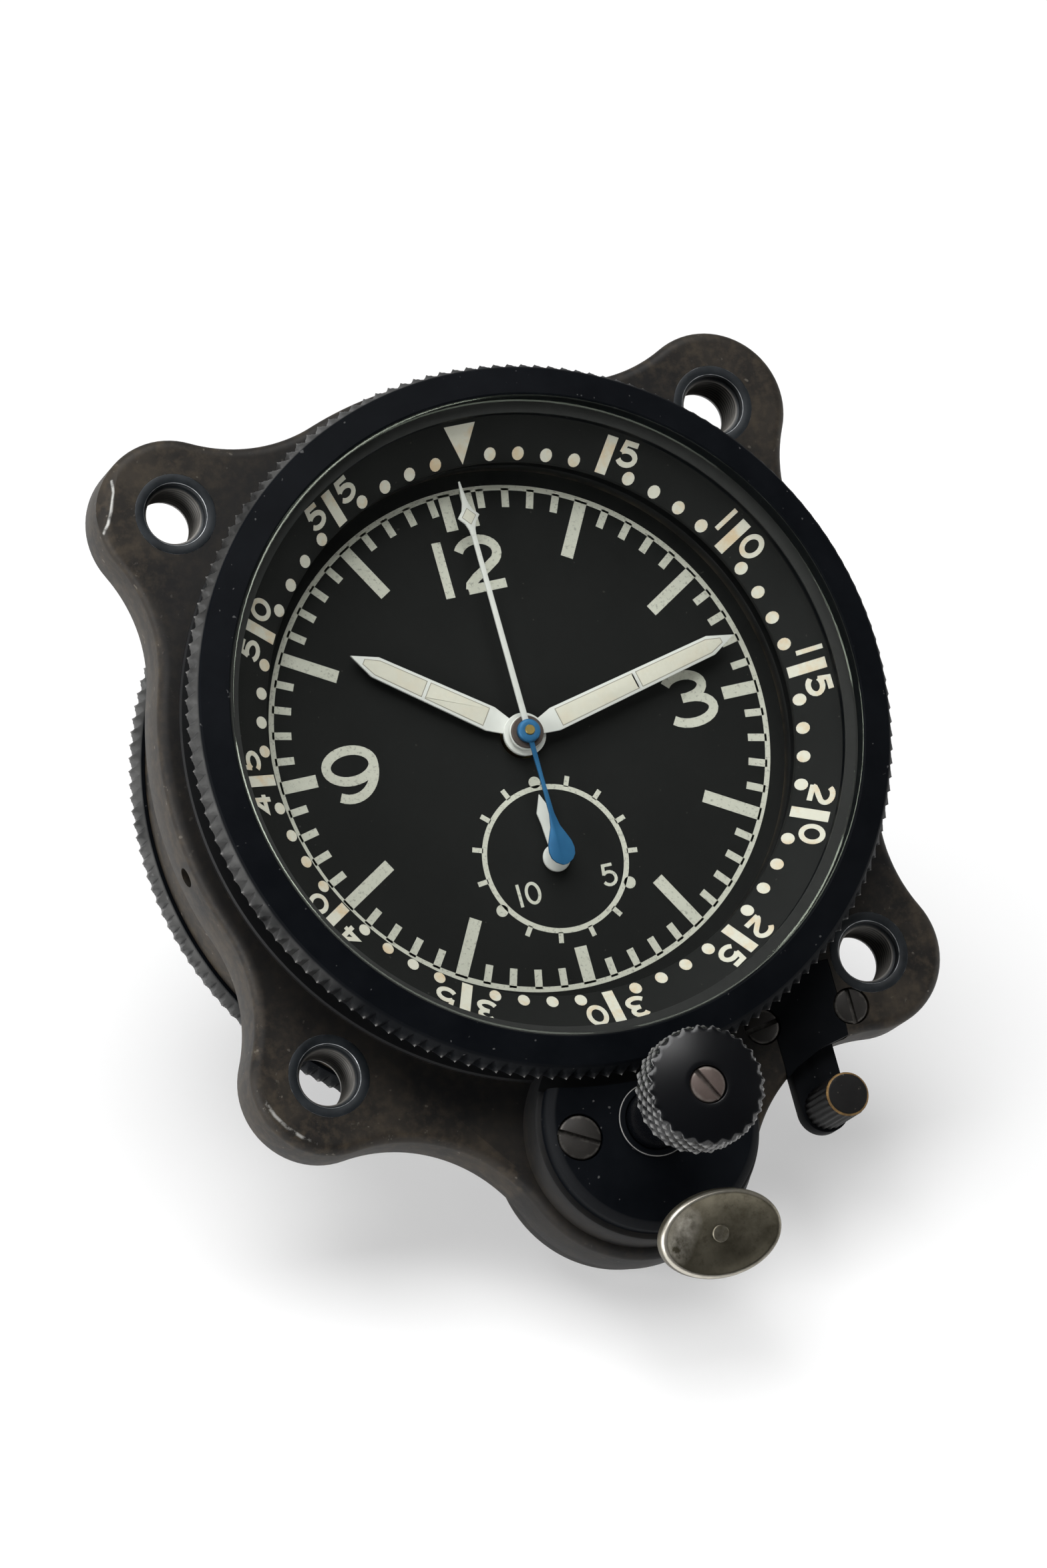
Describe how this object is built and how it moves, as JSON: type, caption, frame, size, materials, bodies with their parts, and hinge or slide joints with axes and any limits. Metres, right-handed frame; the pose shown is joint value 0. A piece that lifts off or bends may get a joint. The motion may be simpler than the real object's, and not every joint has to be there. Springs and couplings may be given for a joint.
{
  "type": "aircraft panel clock",
  "caption": "Round aircraft panel clock with stop hand, toothed turning bezel, winding knob and push piece below the dial, a stop slide and a four-eared flange.",
  "frame": {"origin": "on the dial's axis, in the plane of the flange's front face, at the centre of the four mounting holes", "axes": "the dial faces -Y, 12 o'clock is towards +Z and 3 o'clock towards +X"},
  "size_m": [0.0608, 0.0413, 0.0783],
  "materials": {
    "case_black": "worn satin black on light metal",
    "bezel_black": "satin blue-black",
    "knob_black": "gloss black, worn to grey on its edges",
    "insert_steel": "blued, bright on the chamfer",
    "screw_steel": "turned, dull",
    "pad_nickel": "tarnished nickel",
    "dial_black": "matte",
    "hand_white": "matte, with cream lume",
    "hand_blue": "blued",
    "clear_glass": "clear, polished",
    "seal_rubber": "matte",
    "spring_steel": "ground",
    "movement_brass": "grained",
    "ring_aluminium": "turned"
  },
  "bodies": {
    "case": {"case_body": "case_black", "threaded_inserts": "insert_steel", "set_screw": "screw_steel", "rear_cover": "bezel_black", "rear_gasket": "seal_rubber", "bezel_spring": "spring_steel", "dial": "dial_black", "dial_spacer": "ring_aluminium", "housing_plate": "bezel_black", "plate_screws": "screw_steel", "stem_bushing": "bezel_black", "wheel_studs": "spring_steel", "push_guide": "bezel_black", "push_spring": "spring_steel", "slide_cover": "bezel_black", "cover_screws": "screw_steel", "main_plate": "movement_brass", "back_plate": "movement_brass", "movement_ring": "ring_aluminium", "pillars": "movement_brass", "movement_screws": "screw_steel", "chrono_bridge": "movement_brass"},
    "bezel": {"bezel": "bezel_black", "chapter_ring": "dial_black", "glass": "clear_glass", "glass_seal": "seal_rubber"},
    "minute": {"minute_hand": "hand_white", "cannon_pinion": "spring_steel"},
    "hour": {"hour_hand": "hand_white", "hour_wheel": "movement_brass"},
    "motion": {"minute_wheel": "movement_brass"},
    "chrono": {"chrono_seconds_hand": "hand_blue", "chrono_arbor": "movement_brass"},
    "idler": {"counter_idler": "movement_brass"},
    "counter": {"chrono_minute_hand": "hand_white", "counter_wheel": "movement_brass"},
    "fourth": {"fourth_wheel": "movement_brass"},
    "third": {"third_wheel": "movement_brass"},
    "centre": {"centre_wheel": "movement_brass"},
    "intermediate": {"intermediate_wheel": "movement_brass"},
    "barrel": {"barrel": "movement_brass", "barrel_cap": "movement_brass", "mainspring": "hand_blue"},
    "escape": {"escape_wheel": "spring_steel"},
    "pallet": {"pallet_lever": "spring_steel"},
    "balance": {"balance_wheel": "movement_brass", "hairspring": "hand_blue"},
    "pinion": {"winding_pinion": "spring_steel"},
    "stem": {"winding_stem": "knob_black", "winding_knob": "knob_black", "knob_screw": "screw_steel"},
    "crown": {"crown_wheel": "spring_steel"},
    "transfer": {"transfer_wheel": "spring_steel"},
    "ratchet": {"ratchet_wheel": "spring_steel", "barrel_arbor": "spring_steel"},
    "click": {"click": "spring_steel"},
    "push": {"push_stem": "pad_nickel", "push_pad": "pad_nickel"},
    "slide": {"stop_slide": "bezel_black", "slide_pin": "knob_black"}
  },
  "joints": [
    {"name": "bezel_turn", "type": "hinge", "parent": "case", "child": "bezel", "pos_m": [0, 0, 0], "axis": [0, 1, 0], "continuous": true},
    {"name": "minute_turn", "type": "hinge", "parent": "case", "child": "minute", "pos_m": [0, 0, 0], "axis": [0, 1, 0], "continuous": true},
    {"name": "hour_turn", "type": "hinge", "parent": "case", "child": "hour", "pos_m": [0, 0, 0], "axis": [0, 1, 0], "continuous": true},
    {"name": "motion_turn", "type": "hinge", "parent": "case", "child": "motion", "pos_m": [0.0024, 0, 0.00416], "axis": [0, 1, 0], "continuous": true},
    {"name": "chrono_turn", "type": "hinge", "parent": "case", "child": "chrono", "pos_m": [0, 0, 0], "axis": [0, 1, 0], "continuous": true},
    {"name": "idler_turn", "type": "hinge", "parent": "case", "child": "idler", "pos_m": [0.00182, 0, -0.00401], "axis": [0, 1, 0], "continuous": true},
    {"name": "counter_turn", "type": "hinge", "parent": "case", "child": "counter", "pos_m": [0, 0, -0.01035], "axis": [0, 1, 0], "continuous": true},
    {"name": "fourth_turn", "type": "hinge", "parent": "case", "child": "fourth", "pos_m": [0.00237, 0, 0.01055], "axis": [0, 1, 0], "continuous": true},
    {"name": "third_turn", "type": "hinge", "parent": "case", "child": "third", "pos_m": [-0.00113, 0, 0.00638], "axis": [0, 1, 0], "continuous": true},
    {"name": "centre_turn", "type": "hinge", "parent": "case", "child": "centre", "pos_m": [0, 0, 0], "axis": [0, 1, 0], "continuous": true},
    {"name": "intermediate_turn", "type": "hinge", "parent": "case", "child": "intermediate", "pos_m": [-0.0072, 0, -0.00024], "axis": [0, 1, 0], "continuous": true},
    {"name": "barrel_turn", "type": "hinge", "parent": "case", "child": "barrel", "pos_m": [-0.01032, 0, -0.01032], "axis": [0, 1, 0], "continuous": true},
    {"name": "escape_turn", "type": "hinge", "parent": "case", "child": "escape", "pos_m": [0.00671, 0, 0.00897], "axis": [0, 1, 0], "continuous": true},
    {"name": "pallet_rock", "type": "hinge", "parent": "case", "child": "pallet", "pos_m": [0.00947, 0, 0.00621], "axis": [0, 1, 0], "range_deg": [-5, 5]},
    {"name": "balance_swing", "type": "hinge", "parent": "case", "child": "balance", "pos_m": [0.01357, 0, 0.00211], "axis": [0, 1, 0], "range_deg": [-270, 270], "stiffness_Nm_per_rad": 0.000002},
    {"name": "winding_turn", "type": "hinge", "parent": "case", "child": "pinion", "pos_m": [0, 0, -0.0336], "axis": [0, 1, 0], "continuous": true},
    {"name": "setting_pull", "type": "slide", "parent": "pinion", "child": "stem", "axis": [0, -1, 0], "range_m": [0, 0.0015]},
    {"name": "crown_turn", "type": "hinge", "parent": "case", "child": "crown", "pos_m": [-0.00228, 0, -0.02846], "axis": [0, 1, 0], "continuous": true},
    {"name": "transfer_turn", "type": "hinge", "parent": "case", "child": "transfer", "pos_m": [-0.00528, 0, -0.02169], "axis": [0, 1, 0], "continuous": true},
    {"name": "ratchet_turn", "type": "hinge", "parent": "case", "child": "ratchet", "pos_m": [-0.01032, 0, -0.01032], "axis": [0, 1, 0], "continuous": true},
    {"name": "click_lift", "type": "hinge", "parent": "case", "child": "click", "pos_m": [-0.0145, 0, 0.003], "axis": [0, -1, 0], "range_deg": [0, 8]},
    {"name": "push_press", "type": "slide", "parent": "case", "child": "push", "axis": [0, 0.9703, 0.2419], "range_m": [0, 0.002], "stiffness_N_per_m": 100, "springref_m": -0.004, "deforming": ["push_spring"]},
    {"name": "stop_slide_move", "type": "slide", "parent": "case", "child": "slide", "axis": [0, 0, 1], "range_m": [0, 0.002]}
  ],
  "couplings": [
    {"joint": "hour_turn", "follows": "minute_turn", "ratio": 0.083333},
    {"joint": "motion_turn", "follows": "minute_turn", "ratio": -0.33333},
    {"joint": "idler_turn", "follows": "chrono_turn", "ratio": -0.33333},
    {"joint": "counter_turn", "follows": "chrono_turn", "ratio": 0.066667},
    {"joint": "third_turn", "follows": "fourth_turn", "ratio": -0.13333},
    {"joint": "centre_turn", "follows": "fourth_turn", "ratio": 0.016667},
    {"joint": "intermediate_turn", "follows": "fourth_turn", "ratio": -0.0033333},
    {"joint": "barrel_turn", "follows": "fourth_turn", "ratio": 0.00047619},
    {"joint": "escape_turn", "follows": "fourth_turn", "ratio": -10},
    {"joint": "crown_turn", "follows": "winding_turn", "ratio": -0.72727},
    {"joint": "transfer_turn", "follows": "winding_turn", "ratio": 0.57143},
    {"joint": "ratchet_turn", "follows": "winding_turn", "ratio": -0.28571}
  ]
}
